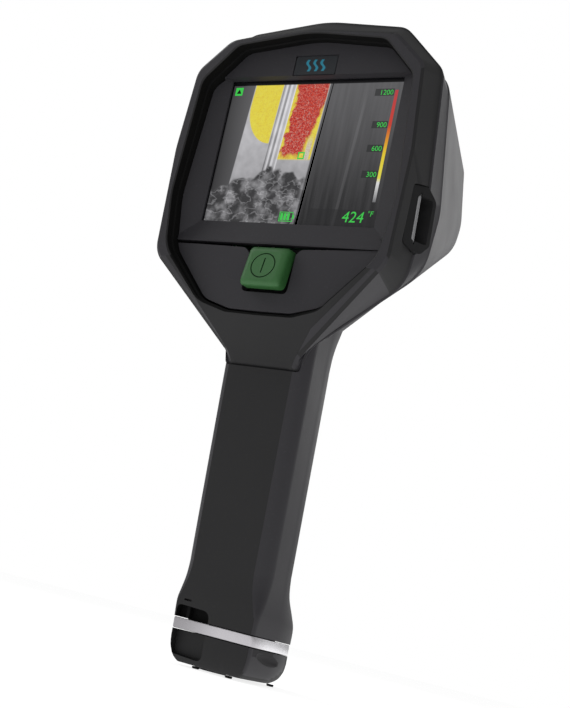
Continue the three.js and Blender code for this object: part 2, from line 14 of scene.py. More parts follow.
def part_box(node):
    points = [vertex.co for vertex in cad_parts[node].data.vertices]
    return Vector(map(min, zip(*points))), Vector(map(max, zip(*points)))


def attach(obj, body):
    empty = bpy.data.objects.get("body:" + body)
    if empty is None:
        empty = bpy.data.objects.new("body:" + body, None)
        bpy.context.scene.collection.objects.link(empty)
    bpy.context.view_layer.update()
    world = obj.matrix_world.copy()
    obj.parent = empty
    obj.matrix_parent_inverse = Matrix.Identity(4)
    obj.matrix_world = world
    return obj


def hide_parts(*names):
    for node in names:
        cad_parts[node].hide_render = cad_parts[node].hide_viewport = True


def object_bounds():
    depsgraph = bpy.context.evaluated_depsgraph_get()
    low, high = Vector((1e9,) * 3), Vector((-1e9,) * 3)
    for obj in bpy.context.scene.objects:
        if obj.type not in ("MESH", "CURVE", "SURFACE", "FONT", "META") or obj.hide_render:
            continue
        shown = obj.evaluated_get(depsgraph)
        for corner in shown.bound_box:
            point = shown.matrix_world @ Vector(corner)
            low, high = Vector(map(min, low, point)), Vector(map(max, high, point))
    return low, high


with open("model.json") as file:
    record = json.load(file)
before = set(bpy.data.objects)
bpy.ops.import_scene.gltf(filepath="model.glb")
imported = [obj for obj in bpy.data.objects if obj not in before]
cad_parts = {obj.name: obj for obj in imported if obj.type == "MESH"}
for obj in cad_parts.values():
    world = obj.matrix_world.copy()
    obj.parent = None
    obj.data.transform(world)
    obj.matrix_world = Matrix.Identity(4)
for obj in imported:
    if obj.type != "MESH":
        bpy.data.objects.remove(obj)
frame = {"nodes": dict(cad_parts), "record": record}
CAD_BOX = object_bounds()

# ---------------------------------------------------------------- places and driving sizes
MM = 0.001
GAP = 0.3
LEAN = math.radians(7.8)
SLOPE = math.tan(LEAN)
SCREEN_TILT = math.radians(3.5)
FOOT_Y = -14.6
foot_low, foot_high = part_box("foot_2")
SHIFT_Y = (foot_low.y + foot_high.y) / 2 / MM - FOOT_Y
FOOT_HEIGHT = foot_high.z / MM + GAP

BASE = Matrix.Scale(MM, 4) @ Matrix.Translation((0, SHIFT_Y, FOOT_HEIGHT))
GRIP = BASE @ Matrix.Rotation(LEAN, 4, "X")
SCREEN_AT = Vector((0, -19.7, 215.6))
SCREEN = GRIP @ Matrix.Translation(SCREEN_AT) @ Matrix.Rotation(math.pi / 2 - SCREEN_TILT, 4, "X")
LOCK_PLACE = BASE @ Matrix.Translation((-2.6, -2, 0))
LOCK = LOCK_PLACE @ Matrix.Rotation(math.radians(35), 4, "Z")

SEAM_Y, TONGUE_SEAM_Y, BELLY_Y, FRONT_Y, NOSE_Y, BUMPER_Y = -16, -19.2, -5.5, 66, 79.7, 86
SEAM_Z = 124.5
BAND_LOW, BAND_HIGH = 12.7, 17.1
WALL = 2.6
LENS_Z = 222
BAY_TOP = 116
SOCKET_Y, SOCKET_Z = -18.5, 189.5
NOSE_BORE = 25.6
SCREW_RADIUS = 29
HEAD_Y = NOSE_Y + 1.2
SPLIT_V = -41.6
BUTTON_V = -52.2
BUTTON_SIZE = 16.4
LOCK_RADIUS = 9.6
TONGUE, TONGUE_SEAM = 15.6, 17.3
RECESS_Y = -17.4
BUTTON_TILT = 0.2

# Right halves of the head's outlines from top to bottom, [x, z, corner radius]
RIM = [(0, 266.4, 60), (39.5, 263.2, 10), (54.3, 249.6, 9), (56.9, 214, 40), (55.4, 167.4, 12),
       (17.6, 129.6, 8), (TONGUE, SEAM_Z, 2), (0, SEAM_Z, 0)]
SEAM = [(0, 274.4, 60), (37.4, 270, 10), (56.6, 251.4, 10), (59.8, 193, 40), (55.6, 164, 18),
        (19.8, 135, 10), (TONGUE_SEAM, SEAM_Z, 2), (0, SEAM_Z, 0)]
BELLY = [(0, 277, 60), (34, 272.4, 10), (55.6, 249, 12), (60.8, 195, 40), (58, 170.8, 20),
         (20, 141.5, 10), (14, 131, 6), (0, 129, 6)]
NOSE = [(0, 258, 30), (17, 256, 12), (29.2, 243.4, 13), (32.6, 214, 30), (30.6, 202, 14),
        (19.5, 193.3, 10), (6, 187, 6), (0, 187, 6)]
POCKET = [(0, 264.2, 60), (34.7, 260, 7), (49.8, 244.5, 8), (52.8, 194, 40), (49.6, 170.5, 16),
          (28, 148.6, 12), (15, 145.2, 10), (0, 145, 10)]


# ---------------------------------------------------------------- mesh helpers
def rounded(corners, steps=8):
    """Outline of straight runs joined by smooth curves, with steps + 1 points at each corner."""
    points = []
    for i, (x, z, radius) in enumerate(corners):
        here = Vector((x, z))
        a = Vector(corners[i - 1][:2]) - here
        b = Vector(corners[(i + 1) % len(corners)][:2]) - here
        reach = 0.48 * min(a.length, b.length)
        a.normalize()
        b.normalize()
        half = math.acos(max(-1, min(1, a.dot(b)))) / 2
        cut = min(reach, radius / math.tan(half))
        for k in range(steps + 1):
            t = k / steps
            points.append(here + a * cut * (1 - t) ** 2 + b * cut * t * t)
    return points


def mirrored(half, steps=8):
    right = half[1:-1]
    left = [(-x, z, r) for x, z, r in reversed(right)]
    return rounded([half[0], *right, half[-1], *left], steps)


def grown(half, d):
    """The outline with its sides, top and lower part moved out by d."""
    moved = []
    for i, (x, z, r) in enumerate(half):
        lift = d if i < 3 else -d if i > 3 else 0
        moved.append((max(0.5, x + d) if x else 0, z + lift, r))
    return moved


def mixed(a, b, t):
    return [p.lerp(q, t) for p, q in zip(a, b)]


def at_y(outline, y):
    return [(p.x, y, p.y) for p in outline]


def make(name, points, faces, where=GRIP):
    """A closed mesh object in the row frame, with doubled points merged and its faces turned out."""
    mesh = bpy.data.meshes.new(name)
    mesh.from_pydata([where @ Vector(p) for p in points], [], faces)
    work = bmesh.new()
    work.from_mesh(mesh)
    bmesh.ops.remove_doubles(work, verts=work.verts, dist=2e-6)
    bmesh.ops.dissolve_degenerate(work, edges=work.edges, dist=2e-6)
    bmesh.ops.recalc_face_normals(work, faces=work.faces)
    work.to_mesh(mesh)
    work.free()
    piece = bpy.data.objects.new(name, mesh)
    bpy.context.scene.collection.objects.link(piece)
    return piece


def loft(name, rings, where=GRIP, ends="capped"):
    """Skin through rings with equal counts. ends is capped, joined (last ring to first) or open."""
    n = len(rings[0])
    faces = []
    for r in range(len(rings) if ends == "joined" else len(rings) - 1):
        a, b = r * n, (r + 1) % len(rings) * n
        faces += [(a + k, a + (k + 1) % n, b + (k + 1) % n, b + k) for k in range(n)]
    if ends == "capped":
        last = (len(rings) - 1) * n
        faces += [tuple(range(n))[::-1], tuple(range(last, last + n))]
    return make(name, [p for ring in rings for p in ring], faces, where)


def plate(name, outline, low, high, where):
    """A flat outline made solid between two heights of the frame that it is drawn in."""
    return loft(name, [[(p.x, p.y, h) for p in outline] for h in (low, high)], where)


def plate_y(name, outline, low, high):
    return loft(name, [at_y(outline, low), at_y(outline, high)])


def turned(name, profile, where, steps=64):
    """Body turned about the local z axis through (radius, height) points.

    A ring's profile ends on its first point."""
    ring = profile[0] == profile[-1]
    rows = profile[:-1] if ring else profile
    rings = [[(r * math.cos(a), r * math.sin(a), h)
              for a in (2 * math.pi * k / steps for k in range(steps))] for r, h in rows]
    return loft(name, rings, where, "joined" if ring else "open")


def along_y(x, z):
    """Frame whose z axis points along the lens, through (x, z) of the grip's frame."""
    return GRIP @ Matrix.Translation((x, 0, z)) @ Matrix.Rotation(-math.pi / 2, 4, "X")


def block(name, x0, x1, y0, y1, z0, z1, where=GRIP):
    sharp = 0.01
    outline = rounded([(x0, y0, sharp), (x1, y0, sharp), (x1, y1, sharp), (x0, y1, sharp)], 1)
    return plate(name, outline, z0, z1, where)


def rectangle(x0, y0, x1, y1, radius, steps=6):
    return rounded([(x0, y0, radius), (x1, y0, radius), (x1, y1, radius), (x0, y1, radius)], steps)


def disc(radius, low, high):
    return [(0, low), (radius, low), (radius, high), (0, high)]


def hoop(inner, outer, low, high):
    return [(inner, low), (outer, low), (outer, high), (inner, high), (inner, low)]


def carve(piece, operation, others):
    """Joins or cuts piece with the others, which are then removed."""
    for other in others:
        modifier = piece.modifiers.new("carve", "BOOLEAN")
        modifier.operation = operation
        modifier.object = other
        modifier.solver = "EXACT"
    graph = bpy.context.evaluated_depsgraph_get()
    mesh = bpy.data.meshes.new_from_object(piece.evaluated_get(graph))
    work = bmesh.new()
    work.from_mesh(mesh)
    bmesh.ops.remove_doubles(work, verts=work.verts, dist=4e-6)
    bmesh.ops.dissolve_degenerate(work, edges=work.edges, dist=2e-6)
    work.to_mesh(mesh)
    work.free()
    piece.modifiers.clear()
    piece.data = mesh
    for other in others:
        bpy.data.objects.remove(other)
    return piece


def cut(piece, *tools):
    return carve(piece, "DIFFERENCE", tools)


def join(piece, *others):
    return carve(piece, "UNION", others)


def soften(piece, edge, angle=24, segments=2):
    """Rounds the piece's edges and evens out its shading."""
    piece.data.shade_smooth()
    if edge:
        bevel = piece.modifiers.new("edges", "BEVEL")
        bevel.width = edge * MM
        bevel.segments = segments
        bevel.limit_method = "ANGLE"
        bevel.angle_limit = math.radians(angle)
        bevel.harden_normals = True
    normals = piece.modifiers.new("shading", "WEIGHTED_NORMAL")
    normals.keep_sharp = True


def dress(piece, body, look, nodes, edge=0.4, angle=24):
    """Finishes a new piece: edges, material, the body it rides on and the nodes it stands for."""
    soften(piece, edge, angle)
    piece.data.materials.clear()
    for material in look if isinstance(look, list) else [look]:
        piece.data.materials.append(material)
    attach(piece, body)
    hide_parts(*nodes)
    return piece


def paint(piece, index, where):
    """Gives material number index to each face that passes the test.

    The test gets the face's middle and normal in the grip's frame."""
    to_grip = GRIP.inverted()
    turn = to_grip.to_3x3().normalized()
    for face in piece.data.polygons:
        if where(to_grip @ face.center, turn @ face.normal):
            face.material_index = index


# ---------------------------------------------------------------- shader helpers
class Wire:
    """One shader socket. Arithmetic on it adds Math nodes."""

    def __init__(self, look, socket):
        self.look = look
        self.socket = socket

    def math(self, operation, *others):
        return self.look.node("ShaderNodeMath", {"operation": operation}, dict(enumerate([self, *others])))

    def __add__(self, other):
        return self.math("ADD", other)

    __radd__ = __add__

    def __sub__(self, other):
        return self.math("SUBTRACT", other)

    def __rsub__(self, other):
        return self.look.node("ShaderNodeMath", {"operation": "SUBTRACT"}, {0: other, 1: self})

    def __mul__(self, other):
        return self.math("MULTIPLY", other)

    __rmul__ = __mul__

    def __truediv__(self, other):
        return self.math("DIVIDE", other)

    def __abs__(self):
        return self.math("ABSOLUTE")

    def least(self, other):
        return self.math("MINIMUM", other)

    def most(self, other):
        return self.math("MAXIMUM", other)

    def rise(self, low, high):
        """0 below low, 1 above high, and smooth between. It falls instead where low is above high."""
        return self.look.node("ShaderNodeMapRange", {"interpolation_type": "SMOOTHSTEP"},
                              {"Value": self, "From Min": low, "From Max": high})


class Look:
    """A material with one Principled shader, whose varying sockets are set by expressions."""

    def __init__(self, name, **constants):
        self.material = bpy.data.materials.new(name)
        self.material.use_nodes = True
        self.tree = self.material.node_tree
        self.shader = self.tree.nodes["Principled BSDF"]
        self.set(**constants)

    def node(self, kind, settings=None, values=None, out=0):
        made = self.tree.nodes.new(kind)
        for key, value in (settings or {}).items():
            if key == "stops":
                self.fill(made.color_ramp, value)
            else:
                setattr(made, key, value)
        for key, value in (values or {}).items():
            if isinstance(value, Wire):
                self.tree.links.new(value.socket, made.inputs[key])
            else:
                made.inputs[key].default_value = value
        return Wire(self, made.outputs[out])

    @staticmethod
    def fill(ramp, stops):
        for at, _ in stops[2:]:
            ramp.elements.new(at)
        for element, (at, color) in zip(ramp.elements, stops):
            element.position = at
            element.color = (*color, 1)

    def set(self, **values):
        for key, value in values.items():
            socket = self.shader.inputs[key.replace("_", " ").title().replace("Ior", "IOR")]
            if isinstance(value, Wire):
                self.tree.links.new(value.socket, socket)
            else:
                socket.default_value = value

    def place(self):
        return self.node("ShaderNodeTexCoord", out=3)

    def noise(self, scale, detail=3, at=None):
        values = {"Vector": at or self.place(), "Scale": scale, "Detail": detail}
        return self.node("ShaderNodeTexNoise", {}, values)

    def mix(self, factor, a, b):
        return self.node("ShaderNodeMix", {"data_type": "RGBA"}, {0: factor, 6: a, 7: b}, out=2)

    def stretched(self, x, y, z):
        return self.node("ShaderNodeMapping", {}, {"Vector": self.place(), "Scale": (x, y, z)})

    def bump(self, height, strength, depth):
        values = {"Height": height, "Strength": strength, "Distance": depth * MM}
        self.set(normal=self.node("ShaderNodeBump", {}, values))


def shade(color, factor=1.0):
    return (*(channel * factor for channel in color), 1)


def moulded(name, color, roughness, texture=0.35, scuffed=0.0, specular=0.32):
    """Moulded plastic: fine spark-eroded texture, slight flow variation and faint pale scuffs."""
    look = Look(name, specular_ior_level=specular)
    grain = look.noise(2300, 2)
    flow = look.noise(38, 4)
    speck = look.noise(900, 3).rise(0.6, 0.75)
    scuff = look.noise(150, 6, look.stretched(1, 1, 0.35)).rise(0.62, 0.78) * look.noise(26, 2).rise(0.5, 0.7)
    tone = look.mix(grain * 0.5 + flow * 0.5, shade(color, 0.78), shade(color, 1.24))
    tone = look.mix(speck * 0.35, tone, shade(color, 1.8))
    tone = look.mix(scuff * scuffed, tone, shade(color, 4))
    look.set(base_color=tone, roughness=roughness + (flow - 0.5) * 0.18 + (grain - 0.5) * 0.1)
    look.bump(grain * 0.7 + look.noise(5200, 1) * 0.3, texture, 0.05)
    return look.material


def rubbery(name, color):
    look = Look(name, specular_ior_level=0.25)
    grain = look.noise(1500, 4)
    dust = look.noise(70, 5).rise(0.5, 0.8)
    look.set(base_color=look.mix(dust * 0.5, shade(color), shade(color, 1.9)), roughness=0.72 + grain * 0.2)
    look.bump(grain, 0.4, 0.06)
    return look.material


def metal(name, color, roughness, along=(1, 1, 0.05), metallic=1.0, grain=0.1, painted_reflection=None):
    """Metal with fine drawing or turning lines along one direction.

    Its last argument, when given, paints its tone from a first colour at the rear left to a second one at the
    right side: a painted reflection, not a property of the metal."""
    look = Look(name, metallic=metallic)
    lines = look.noise(4200, 2, look.stretched(*along))
    cloud = look.noise(55, 3)
    tone = look.mix(cloud, shade(color, 0.86), shade(color, 1.08))
    # Painted reflection: the base colour shifts to the first colour at the rear left and to the second at the
    # right side.
    if painted_reflection:
        reflection_dark_end, right = painted_reflection
        round_side = look.node("ShaderNodeVectorMath", {"operation": "DOT_PRODUCT"},
                               {0: look.place(), 1: (1, 0.5, 0)}, out=1)
        tone = look.mix(round_side.rise(-4 * MM, -28 * MM), tone, reflection_dark_end)
        tone = look.mix(round_side.rise(9 * MM, 16 * MM), tone, right)
    look.set(base_color=tone, roughness=roughness + (lines - 0.5) * 0.2 + (cloud - 0.5) * 0.08)
    look.bump(lines, grain, 0.02)
    return look.material


def solder_board(name):
    """Green circuit board with a maze of slightly raised tracks and tinned pads."""
    look = Look(name, specular_ior_level=0.5)
    upright = look.node("ShaderNodeMapping", {}, {"Vector": look.place(), "Rotation": (math.pi / 2, 0, 0)})
    cells = look.node("ShaderNodeTexBrick", {"offset": 0.5}, {
        "Vector": upright, "Scale": 260, "Mortar Size": 0.06, "Color1": (0, 0, 0, 1),
        "Color2": (0.3, 0.3, 0.3, 1), "Mortar": (1, 1, 1, 1)}, out=1)
    pads = look.noise(420, 0).rise(0.68, 0.7)
    green = look.mix(cells, (0.01, 0.09, 0.035, 1), (0.02, 0.16, 0.06, 1))
    look.set(base_color=look.mix(pads, green, (0.6, 0.6, 0.58, 1)), metallic=pads,
             roughness=0.42 - pads * 0.12)
    look.bump(cells + pads, 0.4, 0.03)
    return look.material


def power_green(name):
    """Button rubber: a slightly cloudy green."""
    look = Look(name, specular_ior_level=0.4)
    grain = look.noise(2600, 2)
    cloud = look.noise(120, 3)
    green = look.mix(grain * 0.6 + cloud * 0.4, (0.018, 0.085, 0.02, 1), (0.045, 0.16, 0.045, 1))
    look.set(base_color=green, roughness=0.5 + (grain - 0.5) * 0.2)
    look.bump(grain, 0.25, 0.04)
    return look.material


def sunk_green(name):
    """Dark green of the ring and bar sunk into the button."""
    look = Look(name, specular_ior_level=0.2)
    look.set(base_color=look.mix(look.noise(900), (0.004, 0.02, 0.005, 1), (0.008, 0.035, 0.01, 1)),
             roughness=0.6 + look.noise(2000) * 0.2)
    return look.material


def infrared_glass(name):
    look = Look(name, metallic=0.85, coat_roughness=0.05)
    film = look.noise(30, 2)
    look.set(base_color=look.mix(film, (0.09, 0.075, 0.065, 1), (0.16, 0.12, 0.1, 1)),
             roughness=0.08 + film * 0.06, coat_weight=0.6 + film * 0.3)
    return look.material


def cell_wrap(name):
    look = Look(name, specular_ior_level=0.5)
    creases = look.noise(140, 3, look.stretched(1, 1, 6))
    look.set(base_color=look.mix(creases, (0.02, 0.14, 0.24, 1), (0.04, 0.22, 0.34, 1)),
             roughness=0.3 + creases * 0.15)
    look.bump(creases, 0.3, 0.1)
    return look.material


def screen_place(look):
    """Two wires with the place on the screen's face in millimetres, from its middle: across and up."""
    place = look.place()
    to_screen = SCREEN.inverted()
    out = []
    for row in range(2):
        along = to_screen[row]
        dot = look.node("ShaderNodeVectorMath", {"operation": "DOT_PRODUCT"},
                        {0: place, 1: tuple(along[:3])}, out=1)
        out.append(dot + along[3])
    return out


# figures beside the colour scale and the heights of their feet on the screen
SCALE_MARKS = [("1200", 25.4), ("900", 11.3), ("600", 1.1), ("300", -10)]
SCALE_LOW, SCALE_HIGH = -20.6, 27.4


def readout_picture(name):
    """The lit picture: a grey hallway with a hot doorway, edges drawn in white, and rubble on the floor."""
    look = Look(name, roughness=0.14, specular_ior_level=0.35)
    u, v = screen_place(look)
    down = 31 - v
    flat = look.node("ShaderNodeCombineXYZ", {}, {0: u, 1: v})

    def field(scale, detail, x=1.0, y=1.0):
        at = look.node("ShaderNodeMapping", {}, {"Vector": flat, "Scale": (x, y, 1)})
        return look.noise(scale, detail, at)

    def stripe(value, at, width):
        return 1 - abs(value - at).rise(width * 0.5, width)

    lean = u + down * 0.055
    grit = field(2.4, 3)
    streaks = field(0.5, 3, 1, 0.06)
    wall = 0.018 + v.rise(-34, 36) * 0.1 + (streaks - 0.5) * 0.07 + (grit - 0.5) * 0.02
    left_wall = 0.03 + (u + 41) * 0.006 + v.rise(-20, 30) * 0.02
    hall = 0.38 + field(0.16, 2) * 0.35 - v.rise(14, -14) * 0.15 + (grit - 0.5) * 0.06
    in_hall = lean.rise(-30.3, -29.7) * lean.rise(7.2, 6.6)
    tone = wall * lean.rise(6.4, 6.8) + left_wall * lean.rise(-29.7, -30.3) + hall * in_hall
    frames = stripe(lean, -11.6, 0.8) + stripe(lean, -13.8, 0.5) + stripe(lean, -9.4, 0.5)
    frames = frames + stripe(lean, 7.1, 0.3) * 0.6
    dark = stripe(lean, -12.6, 0.7) + stripe(lean, -15.0, 0.4) + stripe(lean, 8.4, 0.3) * 0.6
    tone = tone + frames * 0.24 - dark * 0.22
    tone = tone + stripe(lean, 25.5, 0.9) * v.rise(29, 10) * 0.035

    folds = abs(field(0.13, 3, 1, 1.7) - 0.5).rise(0.035, 0.0)
    heap = v + field(0.09, 2) * 20 + abs(u + 8) * 0.3
    on_floor = heap.rise(3.5, 1.5) * lean.rise(9, 5)
    floor = 0.035 + field(0.17, 5).rise(0.4, 0.75) * 0.3 + folds * 0.14 + (grit - 0.5) * 0.06
    tone = tone * (1 - on_floor) + floor * on_floor
    grey = look.node("ShaderNodeCombineColor", {}, {0: tone * 0.97, 1: tone * 0.96, 2: tone})

    cracks = abs(field(0.75, 4) - 0.5).rise(0.018, 0.0)
    across, up = (u + 17) * 0.075, (v - 22) * 0.056
    round_edge = (across * across + up * up).rise(1.03, 0.97).most(v.rise(21.5, 22.5))
    yellow = round_edge * lean.rise(-29.9, -29.5) * lean.rise(-15.4, -15.9)
    hot_side = lean.rise(-9.3, -9.0) * lean.rise(6.9, 6.6) * v.rise(-3.5, -2.5)
    flame = lean + (field(0.22, 4) - 0.5) * 7
    narrows = (flame + down * 0.24).rise(10, 8)
    red = hot_side * flame.rise(-8.4, -7.4) * narrows * (v + (field(0.3, 3) - 0.5) * 8).rise(-3, 0)
    peak = hot_side * abs(lean - 4.6).rise(1.6, 0.8) * v.rise(9, 2)
    warm = look.mix(field(0.5, 4), (0.80, 0.62, 0.03, 1), (0.86, 0.80, 0.10, 1))
    hot = look.mix(field(1.1, 5).rise(0.35, 0.65), (0.40, 0.012, 0.012, 1), (0.66, 0.06, 0.03, 1))
    picture = look.mix((yellow + hot_side).least(1.0), grey, warm)
    picture = look.mix(red, picture, hot)
    picture = look.mix(peak * 0.8, picture, (0.62, 0.6, 0.6, 1))
    picture = look.mix(cracks * (hot_side + yellow * 0.5).least(1.0) * 0.75, picture, (0.5, 0.12, 0.08, 1))
    picture = look.mix(cracks * red * 0.6, picture, (0.8, 0.7, 0.6, 1))

    columns = [u.rise(left, left + 0.1) * u.rise(37.6, 37.5) for left in (28.8, 30.4)]
    plates = [v.rise(at - 0.5, at - 0.4) * v.rise(at + 2.7, at + 2.6) * columns[len(label) < 4]
              for label, at in SCALE_MARKS]
    plates = plates[0] + plates[1] + plates[2] + plates[3]
    corner = u.rise(9, 9.6) * v.rise(-23.9, -24.3)
    picture = look.mix(plates * 0.72, picture, (0.012, 0.014, 0.013, 1))
    picture = look.mix(corner * 0.6, picture, (0.012, 0.012, 0.013, 1))
    lit = abs(u).rise(41.3, 41.0) * v.rise(-31.4, -31.1) * v.rise(31.0, 30.7)
    picture = look.mix(lit, (0, 0, 0, 1), picture)
    look.set(base_color=look.mix(lit, (0.004, 0.004, 0.005, 1), (0.012, 0.012, 0.013, 1)),
             emission_color=picture, emission_strength=0.86)
    return look.material


def scale_bar(name):
    look = Look(name, roughness=0.3, specular_ior_level=0.2)
    _, v = screen_place(look)
    ramp = look.node("ShaderNodeValToRGB", {"stops": [
        (0, (0.16, 0.16, 0.17)), (0.17, (0.75, 0.75, 0.75)), (0.21, (0.78, 0.72, 0.08)),
        (0.42, (0.8, 0.6, 0.03)), (0.56, (0.75, 0.28, 0.02)), (0.68, (0.6, 0.05, 0.03)),
        (1, (0.5, 0.05, 0.06))]},
        {"Fac": (v - SCALE_LOW) / (SCALE_HIGH - SCALE_LOW)})
    look.set(base_color=(0.01, 0.01, 0.01, 1), emission_color=ramp, emission_strength=0.9)
    return look.material


def lit_green(name, color=(0.05, 0.62, 0.08)):
    look = Look(name, roughness=0.3, specular_ior_level=0.2)
    glow = look.noise(1800, 2)
    look.set(base_color=(0.01, 0.02, 0.01, 1), emission_strength=0.9,
             emission_color=look.mix(glow, shade(color, 0.8), shade(color, 1.15)))
    return look.material


def badge(name):
    """Dark label with three rising waves of heat in teal."""
    look = Look(name, specular_ior_level=0.4)
    u, v = screen_place(look)
    wave = (u + (v - 37.7) * 0.25 + ((v - 37.7) * 1.5).math("SINE") * 0.55)
    near = abs(wave + 3.4).least(abs(wave)).least(abs(wave - 3.4))
    mark = near.rise(0.75, 0.55) * abs(v - 37.7).rise(2.7, 2.5)
    grain = look.noise(1800, 2)
    plain = look.mix(grain, (0.012, 0.014, 0.017, 1), (0.02, 0.023, 0.027, 1))
    look.set(base_color=look.mix(mark, plain, (0.02, 0.22, 0.32, 1)), roughness=0.38 + grain * 0.12)
    return look.material


# DARK is the moulded plastic's own colour and PALE is the panel's. PALE also makes a lighter copy of the
# shell plastic: painted light on faces turned towards the lamps.
DARK = (0.0118, 0.0116, 0.0124)
PALE = (0.026, 0.0248, 0.0287)
shell = moulded("dark moulded shell", DARK, 0.6, scuffed=0.10)
# sides: the shell plastic painted lighter, standing in for light on faces turned towards the lamps.
sides = moulded("moulded sides with painted light", PALE, 0.5, texture=0.22)
panel = moulded("satin moulded panel", PALE, 0.56, texture=0.3)
# Painted shade for the hollow of the finger dish on the battery cap.
dish_shade = moulded("finger dish painted shade", (0.0135, 0.0125, 0.0145), 0.62, texture=0.2)
# Near-black painted shade for the insides of recesses and of the hood round the screen.
recess_shade = moulded("painted recess shade", (0.0045, 0.0045, 0.0045), 0.8, specular=0.12)
rubber = rubbery("black rubber", (0.009, 0.009, 0.0095))
steel = metal("bright drawn steel", (0.42, 0.42, 0.43), 0.3)
dark_steel = metal("blackened steel", (0.05, 0.05, 0.052), 0.35)
# The band's darker rear-left end and paler right end are a painted reflection.
band_silver = metal("satin silver band, painted reflection", (0.54, 0.525, 0.55), 0.27, (1, 1, 6), 0.9, 0.06,
                    ((0.32, 0.31, 0.325, 1), (0.93, 0.92, 0.95, 1)))
aluminium = metal("turned aluminium", (0.42, 0.43, 0.44), 0.38)
hood_black = metal("black anodised aluminium", (0.02, 0.02, 0.022), 0.42, (1, 1, 1), 0.6)
gold = metal("gold plated contact", (0.78, 0.52, 0.18), 0.2)


# ---------------------------------------------------------------- head
def rim_plane(z):
    return -31 + 0.045 * (z - 211)


def ease(value, low, high, start, end):
    """Start below low, end above high, and smooth between."""
    t = max(0, min(1, (value - low) / (high - low)))
    t = t * t * (3 - 2 * t)
    return start * (1 - t) + end * t


def rear_surface(z):
    """The rim's plane, easing down to the grip's flat back below the hood."""
    return ease(z, SEAM_Z - 1, 156, -20.5, rim_plane(z))


def at_rear(outline, offset):
    return [(p.x, rear_surface(p.y) + offset, p.y) for p in outline]


def at_seam(outline, offset=0.0):
    """The outline on the seam's surface, a plane round the head that eases out to the tongue's face."""
    return [(p.x, ease(p.y, 126, 150, TONGUE_SEAM_Y, SEAM_Y) + offset, p.y) for p in outline]


def socket_block(side, d, out=0.0):
    """Six-sided block of a strap socket, grown by d. Its outer face follows the head's flare."""
    y, z = SOCKET_Y, SOCKET_Z
    outline = rounded([
        (y - 7.2 - d, z - 11 - d, 2), (y + 3, z - 13.5 - d, 3), (y + 7.6 + d, z - 9 - d, 3),
        (y + 7.6 + d, z + 9 + d, 3), (y + 2, z + 13.5 + d, 3), (y - 7.2 - d, z + 12 + d, 2)], 5)
    inner = [(side * (53.2 - d), p.x, p.y) for p in outline]
    outer = [(side * (58.6 + 0.3 * (p.x - y) + out), p.x, p.y) for p in outline]
    return loft("socket", [inner, outer])


def rear_shell():
    """One moulding: recess wall with its ledge, lip, rim face, chamfer and the flaring side band."""
    pocket = mirrored(POCKET)
    step = [(p.x, max(-26 + 0.061 * (p.y - SCREEN_AT.z), rear_surface(p.y) + 1.3), p.y) for p in pocket]
    wide = mirrored(grown(POCKET, 0.55))
    lip = mirrored(grown(POCKET, 1.0))
    face = mirrored(grown(RIM, -1.0))
    rim = mirrored(RIM)
    ledge = [(q.x, p[1] - 0.3, q.y) for p, q in zip(step, wide)]
    edge = at_rear(rim, 0.9)
    seam = at_seam(mirrored(SEAM))
    rings = [at_seam(pocket), step, ledge, at_rear(wide, 0.5), at_rear(lip, 0)]
    rings += [at_rear(mixed(lip, face, t / 4), 0) for t in range(1, 5)]
    rings += [edge]
    rings += [[Vector(a).lerp(Vector(b), t) for a, b in zip(edge, seam)] for t in (0.3, 0.6, 0.88)]
    rings += [at_seam(mirrored(grown(SEAM, 0.1)), -0.9), at_seam(mirrored(grown(SEAM, -0.5)))]
    piece = loft("rear_shell", rings, ends="joined")
    cut(piece, socket_block(-1, GAP, 10), socket_block(1, GAP, 10))
    dress(piece, "housing", [shell, sides, recess_shade], ["rear_housing"], 0.25, 28)
    # Painted light: the rim face and the tongue's side faces get the lighter copy of the plastic.
    paint(piece, 1, lambda p, n: p.z > 150 and n.y < -0.8 and p.y < rim_plane(p.z) + 1.2)
    paint(piece, 1, lambda p, n: p.z < 152 and abs(n.x) > 0.35)
    # Painted shade: the hood's inward-facing walls round the screen are near-black.
    paint(piece, 2, lambda p, n: p.y > rim_plane(p.z) + 0.6 and p.z > 141
          and n.x * p.x + n.z * (p.z - SCREEN_AT.z) < -1)
    return piece


def grip_section(z, wide=0.0, front=0.0, back=0.0, square=0.0, steps=16):
    """Section of the grip: flat back, rounded shoulders, slightly drawn-in sides and an elliptical front.

    Square from 0 to 1 widens the flat back until the slopes beside it are gone."""
    taper = 0.0086 * (z - 96)
    half = 20.2 + taper + wide
    rear, middle, nose = -20.5 - back, -2, 19.6 + front
    start = Vector((half - 5.1 + square * 3.8, rear))
    shoulder = Vector((half - 0.7 + square * 0.7, rear + 1.9 - square * 1.8))
    end = Vector((half, rear + 7.5 - square * 5))
    right = [start]
    for k in range(1, 8):
        t = k / 7
        right.append(start * (1 - t) ** 2 + shoulder * 2 * t * (1 - t) + end * t * t)
    for k in range(steps):
        a = k / steps * math.pi / 2
        right.append(Vector(((half - 1.6 * (1 - square)) * math.cos(a), middle + nose * math.sin(a))))
    left = [Vector((-p.x, p.y)) for p in reversed(right)]
    return [*right, Vector((0, middle + nose)), *left]


# height, how far the ring follows the base, and how much its section swells: sides, front, back, squareness
GRIP_RINGS = [
    (BAND_HIGH + 0.2, 1, -0.2, 12, 0.4, 1),
    (24, 1, 0.2, 11.4, 0.4, 0.9),
    (29, 0.8, 0.2, 7.4, 0.3, 0.55),
    (35, 0.5, 0, 1.8, 0.1, 0.2),
    (42, 0.2, 0, 0, 0, 0),
    (50, 0, 0, 0, 0, 0),
    (118, 0, 0, 0, 0, 0),
    (130, 0, 0, 0, 0, 0),
    (138, 0, 0.3, 1.2, 0, 0),
    (145, 0, 1.2, 3.6, 0, 0),
    (152, 0, 2.4, 7, 0, 0),
    (160, 0, 5, 18, 0, 0),
]


